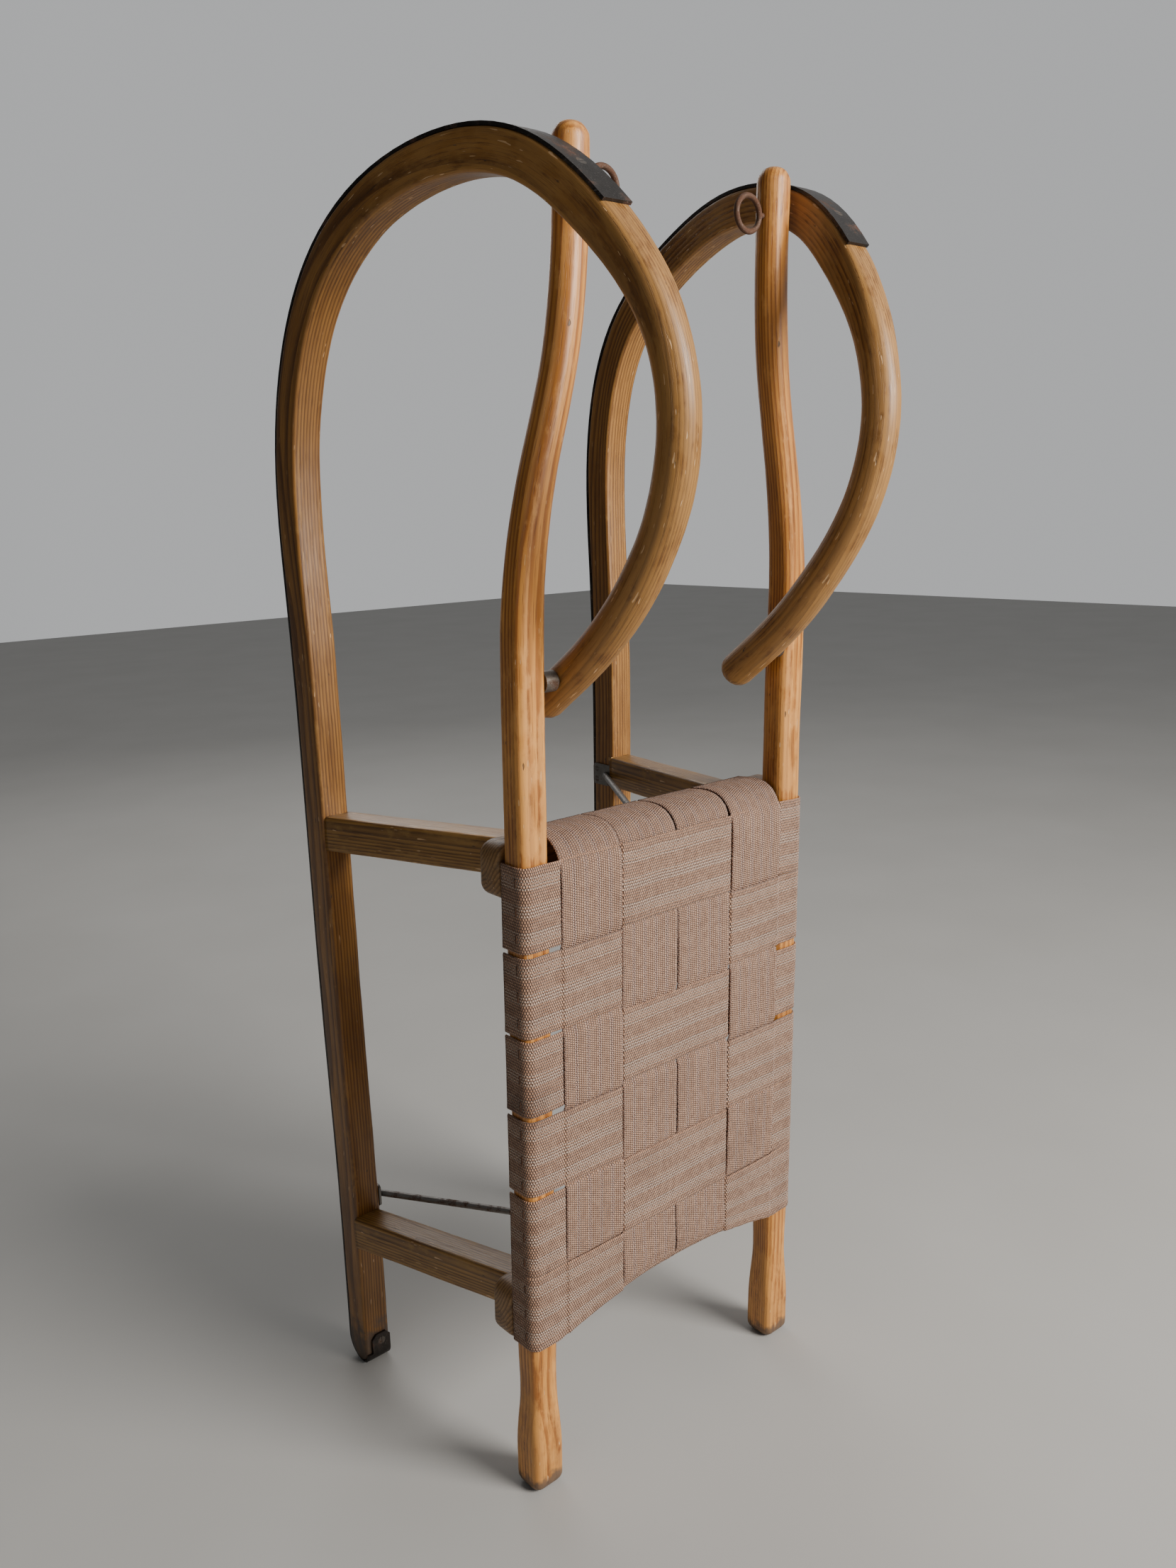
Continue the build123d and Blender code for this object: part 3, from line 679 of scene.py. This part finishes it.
def build_band(row):
    width, tilt = BANDS[row]
    middle = BAND_LOW + row * BAND_PITCH + 37.0
    outline = [(-OUTER, out, (-1.0, 0.0)) for out in np.linspace(-13.0, FACE - CORNER, 7)]
    for angle in np.linspace(0, math.pi / 2, 9)[1:-1]:
        x, y = math.cos(angle), math.sin(angle)
        outline.append((-(OUTER - CORNER) - CORNER * x, FACE - CORNER + CORNER * y, (-x, y)))
    edges = [e + d for pair in STRAP_EDGES for e in pair for d in (-3, -2, -1.2, -0.4, 0.4, 1.2, 2, 3)]
    front = np.linspace(-(OUTER - CORNER), OUTER - CORNER, 75)
    front = np.unique(np.round(np.concatenate((front, edges)), 2))
    outline += [(x, FACE, (0.0, 1.0)) for x in front]
    outline += [(-x, out, (-nx, ny)) for x, out, (nx, ny) in reversed(outline[:14])]
    centre, normal, xs = [], [], []
    for x, out, (nx, ny) in outline:
        centre.append(seat_point(x, middle + tilt * x, out))
        normal.append(ACROSS * nx + FORWARD * ny)
        xs.append(x)
    centre = np.array(centre)
    inner = RAIL_X - RAIL_W / 2

    def lift(i, v):
        x = xs[i]
        move = FORWARD * band_lift(x, row) * (1.0 if 6 < i < len(xs) - 7 else 0.0)
        if row == 0 and abs(x) < inner:
            pull = (0.5 - v / width) ** 1.5
            move = move + UP * HEM_RISE * (1 - (x / inner) ** 2) * pull
        return move

    def soil(place, at, v):
        on_rail = ease(abs(place[0]), 150.0, 176.0)
        stain = math.exp(-(((place[0] + 172) / 14.0) ** 2) - ((place[2] - 398) / 16.0) ** 2)
        return min(1.0, 0.22 * on_rail + 1.1 * stain)

    piece = cloth_strip(
        f"webbing_band_{row + 1}", centre, normal, [UP] * len(centre), steps_across(width), BAND_CLOTH,
        distances(centre), lift, soil, 1.7 * row + 0.3, width,
    )
    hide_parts(f"cross_band_{row + 1}")
    distances(centre)[-1] * MM


def build_strap(index, name, centre_x):
    """Down from the back of the front crossbar, over its top, down the seat and back under the rear one."""
    low, high, arch = BARS["rear"]
    inner = RAIL_X - RAIL_W / 2
    fold = low + arch * (1 - ((abs(centre_x) + 20) / inner) ** 2) - 2.4
    top = BARS["front"][1]
    shape = [
        (-38.0, top + 1.6), (-24.0, top + 3.2), (-12.0, top + 3.4), (0.0, top + 0.4), (9.5, top - 7.5),
        (14.4, top - 18.0), (FACE, top - 30.0), (FACE, top - 60.0), (FACE, 480.0), (FACE, 380.0),
        (FACE, 280.0), (FACE, fold + 40.0), (FACE - 1.2, fold + 16.0), (8.0, fold + 4.5),
        (-3.0, fold + 0.5), (-20.0, fold - 0.4), (-36.0, fold - 0.6),
    ]
    points = [seat_point(centre_x, up, out) for out, up in shape]
    path = smooth_path(points, FORWARD, -FORWARD, 2.6)
    s = distances(path)
    tangent = np.gradient(path, s, axis=0)
    normal = [np.cross(ACROSS, t / np.linalg.norm(t)) for t in tangent]
    outward = [FORWARD + UP * (1 if p[2] > 400 else -1) for p in path]
    normal = [n if n.dot(out) > 0 else -n for n, out in zip(normal, outward)]
    ups = [(p - np.array([0.0, RAIL_FOOT_Y, 0.0])).dot(UP) for p in path]
    outs = [(p - np.array([0.0, RAIL_FOOT_Y, 0.0])).dot(FORWARD) for p in path]

    def lift(i, v):
        flat = ease(outs[i], FACE - 3.0, FACE - 0.5)
        move = normal[i] * strap_lift(ups[i], index) * flat
        if ups[i] < 200 and outs[i] > -30:
            x = centre_x + v
            local = low + arch * (1 - min(abs(x) / inner, 1.0) ** 2) - 2.4
            move = move + UP * (local - fold) * (1 - ease(ups[i], fold + 5, fold + 45))
        return move

    def soil(place, at, v):
        return 0.55 * ease(place[2], 606.0, 630.0) + 0.15 * (1 - ease(place[2], 160.0, 200.0))

    piece = cloth_strip(
        f"webbing_strap_{name}", path, normal, [ACROSS] * len(path), steps_across(STRAP_W), STRAP_CLOTH,
        s, lift, soil, 40.0 + 2.3 * index, STRAP_W,
    )
    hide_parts(f"long_strap_{name}")


for row in range(ROWS):
    build_band(row)
for index, (name, centre_x) in enumerate(STRAPS.items()):
    build_strap(index, name, centre_x)

# ---------------------------------------------------------------- iron work, from the CAD
for node_name, obj in NODES.items():
    if node_name.startswith(("shoe_screws", "horn_screw", "rail_screws", "stay_screws", "horn_spacer")):
        metal = DULL_STEEL
    elif node_name.startswith("shoe_"):
        metal = IRON
    elif node_name.startswith("stay_"):
        metal = STAY_STEEL
    elif node_name.startswith(("screw_eye", "band_staples")):
        metal = RUST
    else:
        continue
    obj.data.materials.clear()
    obj.data.materials.append(metal)

# ---------------------------------------------------------------- floor, light and camera
floor_mesh = bpy.data.meshes.new("floor")
floor_mesh.from_pydata([(-9, -9, 0), (9, -9, 0), (9, 9, 0), (-9, 9, 0)], [], [(0, 1, 2, 3)])
floor = bpy.data.objects.new("floor", floor_mesh)
bpy.context.scene.collection.objects.link(floor)
pale = Shader("floor_pale")
spot = pale.node("TexCoord").outputs["Object"]
tone = pale.mix(pale.noise(spot, 3.0, 4.0), (0.40, 0.39, 0.37), (0.46, 0.45, 0.43))
floor_mesh.materials.append(pale.finish(Base_Color=tone, Roughness=0.85))

# Daylight from the front and the right: the sky is dim on the -X side, so the left faces fall into shade.
world = bpy.data.worlds.new("studio")
world.use_nodes = True
sky = world.node_tree
split = sky.nodes.new("ShaderNodeSeparateXYZ")
sky.links.new(sky.nodes.new("ShaderNodeTexCoord").outputs["Generated"], split.inputs[0])
dim = sky.nodes.new("ShaderNodeMapRange")
dim.interpolation_type = "SMOOTHSTEP"
for key, value in (("From Min", -0.25), ("From Max", 0.35), ("To Min", 0.06), ("To Max", 0.60)):
    dim.inputs[key].default_value = value
sky.links.new(split.outputs["X"], dim.inputs["Value"])
sky.links.new(dim.outputs[0], sky.nodes["Background"].inputs[1])
sky.nodes["Background"].inputs[0].default_value = (0.80, 0.81, 0.82, 1.0)
bpy.context.scene.world = world


def area_light(name, place, target, size, power, colour):
    data = bpy.data.lights.new(name, "AREA")
    data.shape, data.size, data.energy, data.color = "DISK", size, power, colour
    light = bpy.data.objects.new(name, data)
    light.location = place
    light.rotation_euler = (Vector(target) - Vector(place)).to_track_quat("-Z", "Y").to_euler()
    bpy.context.scene.collection.objects.link(light)


area_light("key", (0.9, -2.7, 1.9), (0.0, 0.0, 0.6), 1.6, 165.0, (1.0, 0.965, 0.92))
area_light("fill", (-2.4, -1.0, 1.9), (0.0, 0.0, 0.7), 2.2, 5.0, (0.95, 0.98, 1.0))
area_light("back", (1.0, 2.6, 2.4), (0.0, 0.0, 0.7), 2.0, 22.0, (1.0, 0.99, 0.97))

EYE = Vector((-0.797, -0.879, 0.916))
YAW, PITCH, ROLL = math.radians(41.17), math.radians(12.72), math.radians(1.55)
ahead = Vector((math.sin(YAW) * math.cos(PITCH), math.cos(YAW) * math.cos(PITCH), -math.sin(PITCH)))
level = Vector((math.cos(YAW), -math.sin(YAW), 0.0))
down = ahead.cross(level)
right = level * math.cos(ROLL) + down * math.sin(ROLL)
below = down * math.cos(ROLL) - level * math.sin(ROLL)
camera = bpy.data.objects.new("camera", bpy.data.cameras.new("camera"))
camera.matrix_world = Matrix.Translation(EYE) @ Matrix((right, -below, -ahead)).transposed().to_4x4()
camera.data.sensor_fit = "VERTICAL"
camera.data.sensor_height = 36.0
camera.data.lens = 28.87
bpy.context.scene.collection.objects.link(camera)
bpy.context.scene.camera = camera

bpy.context.view_layer.update()
